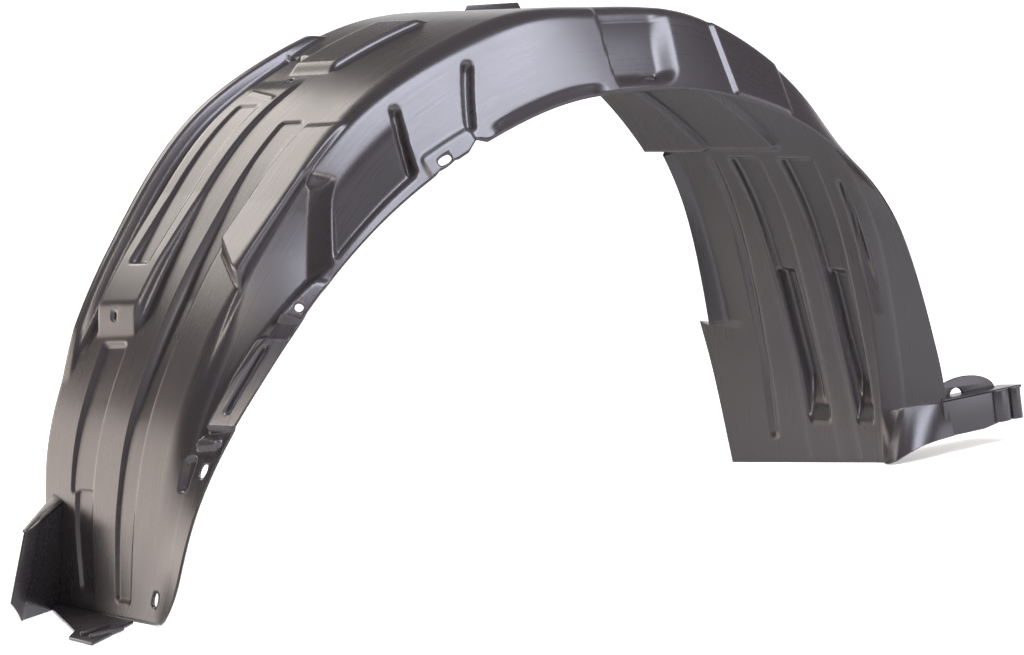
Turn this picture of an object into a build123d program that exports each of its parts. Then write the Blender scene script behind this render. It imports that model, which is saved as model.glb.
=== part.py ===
from build123d import *
import math
import os

# Wheel arch liner moulded in one piece. Millimetres; X runs along the arch, Y from the outer lip in
# towards the car, Z up. The liner stands on the ends of its two legs at Z = 0.

# Wall, and the three rails the skin is stretched over, left foot to right foot, as (X, Z)
WALL = 2.5
Y_LIP = 0.0
Y_SHOULDER = 35.0
Y_FAR = 235.0
LIP = [(-432, 0), (-389, 100), (-322, 188), (-222, 289), (-117, 358), (7, 406), (110, 415), (216, 399),
       (318, 350), (397, 260), (433, 110), (436, 0)]
SHOULDER = [(-428, 0), (-402, 100), (-366, 192), (-288, 310), (-170, 428), (-14, 495), (97, 501), (216, 484),
            (326, 398), (376, 275), (388, 110), (381, 0)]
FAR = [(-460, 0), (-457, 104), (-432, 196), (-361, 323), (-252, 448), (-90, 522), (45, 527), (150, 490),
       (232, 420), (294, 307), (320, 140), (326, 0)]
LAST = len(LIP) - 1
EDGE_BLEND = 16.0
BLEND_SHARE = 0.8
FAR_SPARE = 1.15
POINTS_PER_STATION = 3

# Pressed features: draft of their sides, reach of a cutter past the skin, depth of a raised form's root
DRAFT = 2.0
REACH = 16.0
ROOT = 4.0
BAND_STEP = 0.25
RAMP_POINTS = 3
END_FACETS = 4
BAR_DEPTH = 6.0
PLATEAU_HEIGHT = (13.0, 4.0)
PLATEAU = (2.42, 4.30)
PLATEAU_BAR = (2.9, 4.05)
FOLD_DEPTH = 14.0
RIM_HEIGHT = 6.0
PAD_HEIGHT = 7.0
FLANGE_HEIGHT = 5.0
BOSS_HEIGHT = 6.0
PANEL_DEPTH = 5.0
POCKET_DEPTH = 9.0
PLEAT_DEPTH = 9.0
BEAD_HEIGHT = 3.0
ROOF_STEP = 9.0
RIB_HEIGHT = 6.0
PAD_STEP = 7.0

# Cutters that trim the moulding's edges, and the block that levels its feet
TRIM = 60.0
TRIM_EDGE = 1.5
FLOOR_BLOCK = (1400.0, 600.0, 40.0)

# Holes
CLIP_HOLE = 8.0
SLOT_LENGTH = 15.0
SLOT_WIDTH = 8.0

# Left foot: rounded corner, floor flange with its tab, and the fin with a flange along its top
CORNER_RADIUS = 24.0
FOOT_THICK = 3.0
FOOT_OUTLINE = [(-434, 40), (-457, 229), (-468, 229), (-477, 160), (-487, 84), (-499, 62), (-493, 12),
                (-470, 24), (-452, 27), (-430, 34)]
TAB_RIDGES = [((-491, 50), (-462, 62)), ((-489, 30), (-455, 44))]
RIDGE_WIDTH = 4.0
RIDGE_HEIGHT = 4.0
FIN_THICK = 2.5
FIN_OUTLINE = [(-457, 232, 0), (-503, 204, 0), (-512, 193, 19), (-492, 187, 83), (-443, 209, 106)]
FIN_FLANGE = (5.0, 16.0)

# Right foot: kick panel below the crease, and the tail bracket beside it
TAIL_THICK = 3.0
CREASE_STATION = 10.46
CREASE_CUT = (-0.4, 0.97)
CREASE_REACH = 25.0
KICK = [(385, 35, 63), (437, 0, 60), (395, -3, 17), (364, 14, 0), (380, 36, 0)]
TAIL_INNER_FOOT = (437, -3, 20)
TAIL_FRONT = [(430, 20), (482, 20), (534, 28), (538, 58), (430, 60)]
TAIL_SHELF = [(430, -3), (540, -3), (536, 26), (436, 34)]
TAIL_TOP = 59.0
LOOP_CENTRE = 478.0
LOOP_SIZE = (44.0, 20.0)
LOOP_Y = 22.0
LOOP_OPENING = 9.0
LOOP_OPENING_SHIFT = -10.0
BARRELS = [(509, 22), (528, 15)]
BARREL_BULGE = 6.0
BARREL_BOTTOM = 24.0
BARREL_TOP = 58.0
SEAT = 1.0

# Tab on the far edge of the roof, as (X, Z)
ROOF_TAB = [(44, 514), (57, 534), (118, 533), (132, 498)]

# Far flange of the right leg, turned in towards the wheel: base across the tread, height and lean
TURNED = (8.62, 9.87)
TURNED_BASE = 0.90
TURNED_HEIGHT = (4.0, 13.0)
TURNED_LEAN = (0.02, 0.06)


def rail(points, s):
    """Point (X, Z) of the smooth curve through the stations, straight past both ends."""
    if s < 0:
        a, b = points[0], points[1]
        return (a[0] + (b[0] - a[0]) * s, a[1] + (b[1] - a[1]) * s)
    if s > LAST:
        a, b = points[LAST - 1], points[LAST]
        return (b[0] + (b[0] - a[0]) * (s - LAST), b[1] + (b[1] - a[1]) * (s - LAST))
    i = min(int(s), LAST - 1)
    t = s - i
    p1, p2 = points[i], points[i + 1]
    p0 = points[i - 1] if i > 0 else (2 * p1[0] - p2[0], 2 * p1[1] - p2[1])
    p3 = points[i + 2] if i + 2 <= LAST else (2 * p2[0] - p1[0], 2 * p2[1] - p1[1])
    out = []
    for a, b, c, d in zip(p0, p1, p2, p3):
        out.append(0.5 * (2 * b + (c - a) * t + (2 * a - 5 * b + 4 * c - d) * t ** 2
                          + (3 * b - a - 3 * c + d) * t ** 3))
    return tuple(out)


def spot(face, s, v):
    """Point on the skin: flank v 0 lip to 1 shoulder, tread v 0 shoulder to 1 far edge."""
    if face == "flank":
        a, ya, b, yb = rail(LIP, s), Y_LIP, rail(SHOULDER, s), Y_SHOULDER
    else:
        a, ya, b, yb = rail(SHOULDER, s), Y_SHOULDER, rail(FAR, s), Y_FAR
    return Vector(a[0] + (b[0] - a[0]) * v, ya + (yb - ya) * v, a[1] + (b[1] - a[1]) * v)


def outward(face, s, v):
    """Unit normal of the skin, away from the wheel."""
    along = spot(face, s + 0.02, v) - spot(face, s - 0.02, v)
    across = spot(face, s, v + 0.02) - spot(face, s, v - 0.02)
    return along.cross(across).normalized()


def across_length(face, s):
    return (spot(face, s, 1) - spot(face, s, 0)).length


def along_length(face, s, v):
    return (spot(face, s + 0.05, v) - spot(face, s - 0.05, v)).length * 10


def curve_through(points):
    if len(points) == 2:
        return Edge.make_line(points[0], points[1])
    return Edge.make_spline(points)


def tube(runs):
    """Solid with one face between each run of points and the next, and a flat face at each end."""
    edges = [curve_through(r) for r in runs]
    faces = []
    for a, b in zip(edges, edges[1:] + edges[:1]):
        faces.append(Face.make_surface_from_curves(a, b))
    for end in (0, -1):
        faces.append(Face(Wire.make_polygon([r[end] for r in runs], close=True)))
    return Solid(Shell(faces))


def eased(k):
    k = min(max(k, 0.0), 1.0)
    return k * k * (3 - 2 * k)


def at_end(level, k):
    """Level part of the way along, for a level that may be (start, end)."""
    if isinstance(level, tuple):
        return level[0] + (level[1] - level[0]) * k
    return level


def raised(level, amount):
    if isinstance(level, tuple):
        return tuple(x + amount for x in level)
    return level + amount


def stations(first, final, ramp):
    """Stations from first to final, closer together on the ramps."""
    count = max(3, math.ceil((final - first) / BAND_STEP) + 1)
    even = [first + (final - first) * i / (count - 1) for i in range(count)]
    if not ramp:
        return even
    climb = [first + ramp[0] * i / RAMP_POINTS for i in range(RAMP_POINTS + 1)]
    fall = [final - ramp[1] * i / RAMP_POINTS for i in range(RAMP_POINTS, -1, -1)]
    return climb + [s for s in even if first + 1.3 * ramp[0] < s < final - 1.3 * ramp[1]] + fall


def band(face, s0, s1, v0, v1, low, high, grow=0.0, tuck_low=DRAFT, tuck_high=0.0, ramp=None, floor=0.0):
    """Block that follows the skin from station s0 to s1; v0, v1, low and high may each be (start, end).

    With a ramp the high side climbs from the floor over so many stations at each end.
    """
    first = s0 - grow / along_length(face, s0, at_end(v0, 0))
    final = s1 + grow / along_length(face, s1, at_end(v0, 1))
    runs = [[], [], [], []]
    for s in stations(first, final, ramp):
        k = min(max((s - s0) / (s1 - s0), 0), 1)
        length = across_length(face, s)
        a = at_end(v0, k) - grow / length
        b = at_end(v1, k) + grow / length
        n = outward(face, s, (a + b) / 2)
        lean_low, lean_high = tuck_low / length, tuck_high / length
        bottom, top = at_end(low, k), at_end(high, k)
        if ramp:
            top = floor + (top - floor) * eased((s - first) / ramp[0]) * eased((final - s) / ramp[1])
        runs[0].append(spot(face, s, a + lean_low) + n * bottom)
        runs[1].append(spot(face, s, b - lean_low) + n * bottom)
        runs[2].append(spot(face, s, b - lean_high) + n * top)
        runs[3].append(spot(face, s, a + lean_high) + n * top)
    return tube(runs)


def ridge(face, s0, s1, v0, v1, low, high, grow=0.0):
    return band(face, s0, s1, v0, v1, low, high, grow, 0.0, DRAFT)


def mound(face, s0, s1, v0, v1, ramp, low, high, grow=0.0):
    """Ridge whose ends slope down into the skin."""
    return band(face, s0, s1, v0, v1, low, high, grow, 0.0, DRAFT, ramp, low + ROOT - 1)


def plate(corners, low, high, grow=0.0, slope=DRAFT):
    """Flat block over (face, s, v) corners; the low side is smaller by the slope."""
    points = [spot(*c) for c in corners]
    centre = Vector(0, 0, 0)
    n = Vector(0, 0, 0)
    for c, p in zip(corners, points):
        centre += p * (1 / len(points))
        n += outward(*c)
    n = n.normalized()
    bottom, top = [], []
    for p in points:
        level = p - n * (p - centre).dot(n)
        away = (level - centre).normalized()
        bottom.append(level + away * (grow - max(slope, 0)) + n * low)
        top.append(level + away * (grow + min(slope, 0)) + n * high)
    return Solid.make_loft([Wire.make_polygon(bottom, close=True), Wire.make_polygon(top, close=True)], True)


def fold(bottom, top, low, high, grow=0.0):
    """Cutter for a wide fold: sloping sides from the bottom corners up to the top corners on the skin."""
    centre = Vector(0, 0, 0)
    n = Vector(0, 0, 0)
    for c in bottom + top:
        centre += spot(*c) * (1 / len(bottom + top))
        n += outward(*c)
    n = n.normalized()
    rings = []
    for corners, level in ((bottom, low), (top, -grow), (top, high)):
        ring = []
        for c in corners:
            p = spot(*c)
            flat_place = p - n * (p - centre).dot(n)
            away = (flat_place - centre).normalized()
            ring.append(flat_place + away * (grow / 2) + n * level)
        rings.append(Wire.make_polygon(ring, close=True))
    return Solid.make_loft(rings, True)


def boss(corners, low, high, grow=0.0):
    return plate(corners, low, high, grow, -DRAFT)


def groove(face, a, b, width, low, high, grow=0.0):
    """Straight round-ended block between two spots of the skin, its low side smaller by the draft."""
    pa, pb = spot(face, *a), spot(face, *b)
    n = outward(face, (a[0] + b[0]) / 2, (a[1] + b[1]) / 2)
    along = (pb - pa - n * (pb - pa).dot(n)).normalized()
    side = n.cross(along)
    half = (pb - pa).dot(along) / 2
    rings = []
    for level, radius in ((low, width / 2 + grow - DRAFT), (high, width / 2 + grow)):
        ring = []
        for i in range(2 * END_FACETS + 2):
            turn = math.pi * (i if i <= END_FACETS else i - 1) / END_FACETS - math.pi / 2
            reach = half if i <= END_FACETS else -half
            flat_place = along * (reach + radius * math.cos(turn)) + side * (radius * math.sin(turn))
            ring.append((pa + pb) * 0.5 + flat_place + n * level)
        rings.append(Wire.make_polygon(ring, close=True))
    return Solid.make_loft(rings, True)


def filled_form(inset):
    """Arch filled solid under the skin, or under the inner side of the wall when inset."""
    extra = 0.25 if inset else 0.0
    count = POINTS_PER_STATION * LAST
    rows = []
    for i in range(count + 1):
        s = -extra + (LAST + 2 * extra) * i / count
        flank, tread = across_length("flank", s), across_length("tread", s)
        a = spot("flank", s, 1 - min(EDGE_BLEND / flank, BLEND_SHARE))
        corner = spot("tread", s, 0)
        b = spot("tread", s, EDGE_BLEND / tread)
        row = [(spot("flank", s, 0), outward("flank", s, 0))]
        for t in (0.0, 0.33, 0.67, 1.0):
            p = a * (1 - t) ** 2 + corner * (2 * t * (1 - t)) + b * t ** 2
            n = (outward("flank", s, 1) * (1 - t) + outward("tread", s, 0) * t).normalized()
            row.append((p, n))
        row.append((spot("tread", s, FAR_SPARE), outward("tread", s, 1)))
        if inset:
            row = [(p - n * inset, n) for p, n in row]
            lip, nxt = row[0][0], row[1][0]
            row[0] = (lip + (lip - nxt).normalized() * 4 * inset, row[0][1])
            far, prev = row[-1][0], row[-2][0]
            row[-1] = (far + (far - prev).normalized() * 4 * inset, row[-1][1])
        rows.append([p for p, n in row])
    runs = [list(r) for r in zip(*rows)]
    edges = [Edge.make_spline(r) for r in runs]
    feet = [Edge.make_line(r[-1], r[0]) for r in runs]
    faces = []
    for i in range(len(edges) - 1):
        faces.append(Face.make_surface_from_curves(edges[i], edges[i + 1]))
        faces.append(Face.make_surface_from_curves(feet[i], feet[i + 1]))
    for i in (0, -1):
        faces.append(Face.make_surface_from_curves(edges[i], Edge.make_line(runs[i][0], runs[i][-1])))
    return Solid(Shell(faces))


def hole(face, s, v, length, width):
    """Round or slotted cutter through the wall, long way along the arch."""
    p, n = spot(face, s, v), outward(face, s, v)
    where = Plane(origin=p - n * REACH, x_dir=spot(face, s + 0.02, v) - p, z_dir=n)
    shape = SlotOverall(length, width) if length > width else Circle(width / 2)
    return extrude(where * shape, 2 * REACH).solid()


def turned_flange():
    """Flange along the far edge that leans in towards the wheel and grows taller downwards."""
    runs = [[], [], [], []]
    for i in range(9):
        k = i / 8
        s = TURNED[0] + (TURNED[1] - TURNED[0]) * k
        height = TURNED_HEIGHT[0] + (TURNED_HEIGHT[1] - TURNED_HEIGHT[0]) * k
        top = TURNED_BASE + TURNED_LEAN[0] + (TURNED_LEAN[1] - TURNED_LEAN[0]) * k
        thick = WALL / across_length("tread", s)
        n = outward("tread", s, TURNED_BASE)
        runs[0].append(spot("tread", s, TURNED_BASE))
        runs[1].append(spot("tread", s, TURNED_BASE + thick))
        runs[2].append(spot("tread", s, top + thick) - n * (height + WALL))
        runs[3].append(spot("tread", s, top) - n * (height + WALL))
    return tube(runs)


def sheet(points, thick):
    """Flat plate over points in space, thickened to the back of their turning sense."""
    n = (points[1] - points[0]).cross(points[2] - points[0]).normalized()
    level = [q - n * (q - points[0]).dot(n) for q in points]
    return Solid.extrude(Face(Wire.make_polygon(level, close=True)), n * thick)


def flat(points, z, thick):
    ring = [Vector(x, y, z) for x, y in points]
    return Solid.extrude(Face(Wire.make_polygon(ring, close=True)), Vector(0, 0, thick))


def bar(a, b, width, z, height):
    """Straight bar lying on a level face from floor point a to b."""
    along = (Vector(*b, 0) - Vector(*a, 0)).normalized()
    side = Vector(0, 0, 1).cross(along) * (width / 2)
    ring = [Vector(*a, z) + side, Vector(*a, z) - side, Vector(*b, z) - side, Vector(*b, z) + side]
    return Solid.extrude(Face(Wire.make_polygon(ring, close=True)), Vector(0, 0, height))


def plateau_height(s):
    return at_end(PLATEAU_HEIGHT, (s - PLATEAU[0]) / (PLATEAU[1] - PLATEAU[0]))


# Wide fold of the flank: corners of its floor and of its outline on the skin
FOLD_FLOOR = [("flank", 3.05, 0.90), ("flank", 3.42, 0.86), ("flank", 2.86, 0.34), ("flank", 2.80, 0.44)]
FOLD_OUTLINE = [("flank", 2.92, 1.0), ("flank", 3.54, 0.92), ("flank", 2.98, 0.12), ("flank", 2.44, 0.46)]

# Raised areas as (maker, arguments, height): far rim, plateau of the left leg, pads of the tread and
# roof, then the ribs and deeper pads of the right leg
RAISED = [
    (mound, ("tread", 2.1, 4.84, 0.945, 1.06, (0.3, 0.06)), RIM_HEIGHT),
    (mound, ("tread", *PLATEAU, 0.55, 0.86, (0.24, 0.16)), PLATEAU_HEIGHT),
    (mound, ("tread", 2.98, 3.86, -0.02, 0.22, (0.14, 0.1)), PAD_HEIGHT),
    (mound, ("tread", 4.34, 5.06, 0.46, 0.74, (0.12, 0.1)), PAD_HEIGHT),
    (ridge, ("tread", 8.62, 10.85, (0.43, 0.31), (0.63, 0.49)), RIB_HEIGHT),
    (ridge, ("tread", 8.62, 10.85, (0.13, 0.04), (0.37, 0.17)), RIB_HEIGHT),
    (ridge, ("tread", 9.46, 10.78, (0.44, 0.35), (0.55, 0.46)), RIB_HEIGHT + PAD_STEP),
    (ridge, ("tread", 9.44, 10.78, (0.14, 0.06), (0.26, 0.15)), RIB_HEIGHT + PAD_STEP),
    (ridge, ("tread", 8.62, 10.8, 0.675, 0.745), BEAD_HEIGHT),
]

# Flange, bead and bosses along the lip, with the end panel of the flank
LIP_RAISED = [
    (ridge, ("flank", 1.66, 2.44, -0.02, 0.5), FLANGE_HEIGHT),
    (boss, ([("flank", 2.52, 0.40), ("flank", 2.88, 0.20), ("flank", 2.84, -0.03), ("flank", 2.46, -0.03)],),
     BOSS_HEIGHT),
    (boss, ([("flank", 3.86, 0.13), ("flank", 4.32, 0.17), ("flank", 4.32, -0.04), ("flank", 3.84, -0.04)],),
     FLANGE_HEIGHT),
    (boss, ([("flank", 1.50, 0.62), ("flank", 1.66, 0.62), ("flank", 1.62, 0.1), ("flank", 1.50, 0.1)],),
     BOSS_HEIGHT),
    (ridge, ("flank", 7.02, 7.70, 0.02, 0.93), BEAD_HEIGHT),
]

# Bead along the lip, solid because it is narrower than two walls
SOLID_BEAD = (ridge, ("flank", 4.52, 5.6, -0.02, 0.07), BEAD_HEIGHT)

# Pressed-in areas as (maker, arguments, depth): bars and channels of the left leg, dropped roof, then
# the pleats, panels, pocket and slots of the flank
PRESSED = [
    (band, ("tread", 0.18, 2.40, 0.60, 0.76), BAR_DEPTH),
    (band, ("tread", 0.14, 3.9, 0.26, 0.40), BAR_DEPTH),
    (band, ("tread", *PLATEAU_BAR, 0.63, 0.77), tuple(BAR_DEPTH - plateau_height(s) for s in PLATEAU_BAR)),
    (band, ("tread", 7.2, 8.54, 0.36, 1.3), ROOF_STEP),
    (groove, ("tread", (4.56, 0.93), (4.53, 0.80), 9.0), BAR_DEPTH),
    (fold, (FOLD_FLOOR, FOLD_OUTLINE), FOLD_DEPTH),
    (plate, ([("flank", 3.56, 0.70), ("flank", 4.02, 0.64), ("flank", 3.70, 0.12), ("flank", 3.12, 0.12)],),
     PANEL_DEPTH),
    (groove, ("flank", (4.12, 0.76), (3.90, 0.24), 9.0), PLEAT_DEPTH),
    (groove, ("flank", (4.66, 0.78), (4.42, 0.26), 12.0), PLEAT_DEPTH),
    (plate, ([("flank", 4.78, 0.80), ("flank", 5.80, 0.84), ("flank", 5.62, 0.20), ("flank", 4.60, 0.20)],),
     PANEL_DEPTH),
    (plate, ([("flank", 5.92, 0.88), ("flank", 6.56, 0.90), ("flank", 6.40, 0.03), ("flank", 5.74, 0.03)],),
     POCKET_DEPTH),
    (groove, ("flank", (2.32, 0.25), (1.84, 0.25), 6.0), BAR_DEPTH - FLANGE_HEIGHT),
    (groove, ("flank", (1.40, 0.66), (1.20, 0.66), 12.0), BAR_DEPTH),
]

# Ribs that stand on the dropped roof, above the same ribs of the leg
ROOF_RIBS = [
    (ridge, ("tread", 7.6, 8.54, 0.58, (0.79, 0.74)), RIB_HEIGHT - ROOF_STEP),
    (ridge, ("tread", 7.6, 8.54, 0.40, (0.54, 0.50)), RIB_HEIGHT - ROOF_STEP),
]

# Round and slotted holes as (face, s, v, length, width)
HOLES = [
    ("tread", 0.22, 0.035, 14.0, 11.0),
    ("flank", 1.32, 0.25, 13.0, CLIP_HOLE),
    ("flank", 2.62, 0.12, CLIP_HOLE, CLIP_HOLE),
    ("flank", 4.1, 0.07, SLOT_LENGTH, SLOT_WIDTH),
    ("flank", 6.2, 0.16, SLOT_LENGTH, SLOT_WIDTH),
    ("tread", 2.56, 0.72, CLIP_HOLE, CLIP_HOLE),
    ("tread", 4.28, 0.66, CLIP_HOLE, CLIP_HOLE),
]

# V-shaped notch in the lip
LIP_NOTCH = [("flank", 4.27, -0.06), ("flank", 4.45, -0.06), ("flank", 4.36, 0.07)]

# Far edge as (s from, s to, v at start, v at end)
FAR_EDGE = [(-1.0, 7.35, 1.0, 1.0), (7.34, 8.56, 1.13, 1.13), (TURNED[0], 9.88, TURNED_BASE, TURNED_BASE),
            (9.87, 11.6, 1.09, 1.03)]


def floor_of(depth):
    return tuple(-x for x in depth) if isinstance(depth, tuple) else -depth


def outside(feature):
    maker, where, height = feature
    return maker(*where, -WALL - ROOT, height)


def outside_cut(feature):
    maker, where, depth = feature
    return maker(*where, floor_of(depth), REACH)


def inside(feature):
    maker, where, height = feature
    return maker(*where, -2 * WALL - ROOT, raised(height, -WALL), grow=-WALL)


def inside_cut(feature):
    maker, where, depth = feature
    return maker(*where, raised(floor_of(depth), -WALL), REACH, grow=WALL)


def dropped(feature, low, grow, down):
    maker, where, height = feature
    return maker(*where, low, height - down, grow=grow)


outer = filled_form(0.0) + [outside(f) for f in RAISED + LIP_RAISED] - [outside_cut(f) for f in PRESSED]
outer = outer + [outside(SOLID_BEAD)] + [dropped(f, -ROOF_STEP - WALL - ROOT, 0.0, 0.0) for f in ROOF_RIBS]
inner = filled_form(WALL) + [inside(f) for f in RAISED + LIP_RAISED] - [inside_cut(f) for f in PRESSED]
inner = inner + [dropped(f, -ROOF_STEP - 2 * WALL - ROOT, -WALL, WALL) for f in ROOF_RIBS]
liner = outer - inner
for s0, s1, v0, v1 in FAR_EDGE:
    liner = liner - band("tread", s0, s1, (v0, v1), TRIM_EDGE, -TRIM, TRIM, tuck_low=0)

# Foot corners: the left one is rounded, the right one ends at the crease
middle = (CORNER_RADIUS - ROOT) / 2
corner = Pos(LIP[0][0], middle, middle) * Box(2 * TRIM, CORNER_RADIUS + ROOT, CORNER_RADIUS + ROOT)
rounding = Rot(0, 90, 0) * Cylinder(CORNER_RADIUS, 3 * TRIM)
corner = corner - Pos(LIP[0][0], CORNER_RADIUS, CORNER_RADIUS) * rounding
below_crease = band("flank", CREASE_STATION, LAST + 0.5, *CREASE_CUT, -CREASE_REACH, CREASE_REACH, tuck_low=0)
liner = liner - [corner, below_crease]

added = [turned_flange(), flat(FOOT_OUTLINE, 0, FOOT_THICK)]
added += [bar(a, b, RIDGE_WIDTH, 0, FOOT_THICK + RIDGE_HEIGHT) for a, b in TAB_RIDGES]
fin = [Vector(*q) for q in FIN_OUTLINE]
lean = (fin[1] - fin[0]).cross(fin[4] - fin[0]).normalized()
fin = [q - lean * (q - fin[0]).dot(lean) for q in fin]
added.append(Solid.extrude(Face(Wire.make_polygon(fin, close=True)), lean * FIN_THICK))
strip = [fin[3] - lean, fin[4] - lean, fin[4] + lean * FIN_FLANGE[1], fin[3] + lean * FIN_FLANGE[0]]
added.append(sheet(strip, -FIN_THICK))

kick = [Vector(*q) for q in KICK]
added.append(sheet([kick[0], kick[1], kick[2], kick[3]], WALL))
added.append(sheet([kick[0], kick[3], kick[4]], WALL))
added.append(sheet([kick[1] + Vector(0, 2 * SEAT, 0), Vector(*TAIL_INNER_FOOT), kick[2]], WALL))

# Tail: front wall with two rounded barrels, level shelf, and the loop that stands on the shelf
front = [Vector(x, -TAIL_THICK, z) for x, z in TAIL_FRONT]
added.append(Solid.extrude(Face(Wire.make_polygon(front, close=True)), Vector(0, TAIL_THICK, 0)))
added.append(flat(TAIL_SHELF, TAIL_TOP - TAIL_THICK, TAIL_THICK))
arch = Ellipse(*LOOP_SIZE) - Pos(LOOP_OPENING_SHIFT, 0) * Circle(LOOP_OPENING)
arch = arch - Pos(0, -LOOP_SIZE[1]) * Rectangle(3 * LOOP_SIZE[0], 2 * LOOP_SIZE[1])
upright = Plane(origin=(LOOP_CENTRE, LOOP_Y, TAIL_TOP - 2 * SEAT), x_dir=(1, 0, 0), z_dir=(0, -1, 0))
added.append(extrude(upright * arch, TAIL_THICK).solid())
for x, width in BARRELS:
    radius = (width ** 2 / 4 + BARREL_BULGE ** 2) / (2 * BARREL_BULGE)
    behind = Pos(0, radius) * Rectangle(4 * radius, 2 * radius)
    bulge = Pos(0, radius - BARREL_BULGE) * Circle(radius) - behind
    foot = Pos(x, SEAT - TAIL_THICK, BARREL_BOTTOM)
    added.append(extrude(foot * bulge, BARREL_TOP - BARREL_BOTTOM).solid())
tab = [Vector(x, Y_FAR - TAIL_THICK, z) for x, z in ROOF_TAB]
added.append(Solid.extrude(Face(Wire.make_polygon(tab, close=True)), Vector(0, WALL, 0)))
liner = liner + added
underground = Pos(0, Y_FAR / 2, -FLOOR_BLOCK[2] / 2) * Box(*FLOOR_BLOCK)
notch = plate(LIP_NOTCH, -REACH, REACH, 0.0, 0.0)
liner = liner - [hole(*h) for h in HOLES] - notch - underground

# The origin is on the floor below the middle of the liner's box
liner = liner.solids().sort_by(SortBy.VOLUME)[-1]
size = liner.bounding_box()
liner = Pos(-size.center().X, -size.center().Y, -size.min.Z) * liner
liner.label = "arch_liner"
os.makedirs("parts", exist_ok=True)
export_step(liner, "parts/arch_liner.step")
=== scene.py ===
import math
from typing import NamedTuple

import bpy
import numpy as np
from mathutils import Matrix, Vector


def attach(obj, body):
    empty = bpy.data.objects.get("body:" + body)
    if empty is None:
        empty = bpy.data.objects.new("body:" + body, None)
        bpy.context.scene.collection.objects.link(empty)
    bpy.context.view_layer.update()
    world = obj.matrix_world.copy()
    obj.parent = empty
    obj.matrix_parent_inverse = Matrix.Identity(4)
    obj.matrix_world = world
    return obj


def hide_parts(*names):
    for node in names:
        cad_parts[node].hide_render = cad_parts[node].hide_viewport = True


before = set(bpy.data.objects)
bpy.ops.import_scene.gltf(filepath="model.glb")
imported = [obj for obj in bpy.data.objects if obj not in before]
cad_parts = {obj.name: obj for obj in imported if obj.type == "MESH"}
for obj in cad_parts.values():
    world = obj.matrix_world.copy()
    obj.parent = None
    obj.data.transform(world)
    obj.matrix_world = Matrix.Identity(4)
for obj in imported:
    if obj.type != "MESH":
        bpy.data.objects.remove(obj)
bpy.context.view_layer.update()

# Camera: metres and degrees in the liner's frame
EYE = Vector((-0.9475, -1.7652, 0.3214))
HEADING = 28.0
DOWNWARD = 3.5
ROLL = -7.5
LENS_MM = 70.3
SENSOR_MM = 36.0

# Softboxes as (name, place, aim, width, height, watts, colour), in metres, and the even light around them
SOFTBOXES = [
    ("back_softbox", (-1.0, 1.76, 2.24), (-0.1, 0.05, 0.5), 1.7, 1.3, 44, "#fff8f0"),
    ("front_softbox", (0.33, -1.76, 2.11), (0.05, -0.1, 0.45), 2.05, 0.98, 108, "#eceeff"),
    ("lip_softbox", (-1.08, -1.92, 1.12), (-0.33, -0.05, 0.25), 0.42, 0.36, 14, "#fff4ea"),
    ("left_softbox", (-1.57, 1.47, 0.42), (0.21, 0.57, 0.25), 1.7, 0.84, 20, "#fff0e8"),
    ("right_softbox", (1.75, -1.8, 0.35), (0.5, -0.1, 0.1), 1.2, 0.7, 11, "#f4efff"),
]
AROUND_COLOUR = "#f2e8e2"
AROUND_STRENGTH = 0.25

# White floor and backdrop in metres; the floor's own glow rises over a range of distances from the liner
PAPER_COLOUR = "#f4f4f4"
FLOOR_SIZE = (16.0, 10.0)
FLOOR_MIDDLE = (2.0, 3.1, 0.0)
FLOOR_GLOW = (0.4, 1.0)
GLOW_RANGE = (0.6, 1.7)
BACKDROP_SIZE = (9.0, 4.0)
BACKDROP_AWAY = 8.0
BACKDROP_HEIGHT = 2.0
BACKDROP_GLOW = (1.0, 1.0)

# Plastic: colours, noise per metre of its grain, flow lines and uneven sheen, and their relief in metres
PLASTIC = "#2b2829"
# Paler plastic painted along the crests of ridges: a painted highlight
CREST_HIGHLIGHT_PLASTIC = "#3b3839"
GRAIN_PER_METRE = 700.0
FLOW_PER_METRE = (9.0, 420.0, 420.0)
CLOUDS_PER_METRE = 11.0
ROUGHNESS = (0.24, 0.34)
UNEVEN_RANGE = (0.6, 1.4)
RELIEF = 0.00006
GRAIN_STRENGTH = 0.3
FLOW_STRENGTH = 0.07

# The moulding's rails in millimetres, left foot to right foot, as (X, Z), and where each lies across
MM = 0.001
BOX_MIDDLE = (13.397, 128.5)
WALL = 2.5
Y_LIP = 0.0
Y_SHOULDER = 35.0
Y_FAR = 235.0
LIP = [(-432, 0), (-389, 100), (-322, 188), (-222, 289), (-117, 358), (7, 406), (110, 415), (216, 399),
       (318, 350), (397, 260), (433, 110), (436, 0)]
SHOULDER = [(-428, 0), (-402, 100), (-366, 192), (-288, 310), (-170, 428), (-14, 495), (97, 501), (216, 484),
            (326, 398), (376, 275), (388, 110), (381, 0)]
FAR = [(-460, 0), (-457, 104), (-432, 196), (-361, 323), (-252, 448), (-90, 522), (45, 527), (150, 490),
       (232, 420), (294, 307), (320, 140), (326, 0)]
LAST = len(LIP) - 1

# Rounding of the shoulder, station by station, on the flank and on the tread
BLEND_AT = [2.4, 2.9, 3.45, 3.75, 4.2, 4.8, 6.4, 7.2, 8.4, 9.2, 11.0]
FLANK_BLEND = [16, 5, 5, 9, 11, 14, 16, 14, 14, 18, 18]
TREAD_BLEND = [16, 5, 5, 14, 20, 24, 24, 18, 7, 5, 5]

# Mesh lines along the arch, and across its flank, shoulder, near tread, tread and far edge
COLUMNS = 670
RUN_SAMPLES = 4000
FLANK_ROWS = 38
BLEND_ROWS = 10
NEAR_ROWS = 18
NEAR_END = 0.2
TREAD_ROWS = 60
EDGE_START = 0.8
EDGE_ROWS = 18

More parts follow.
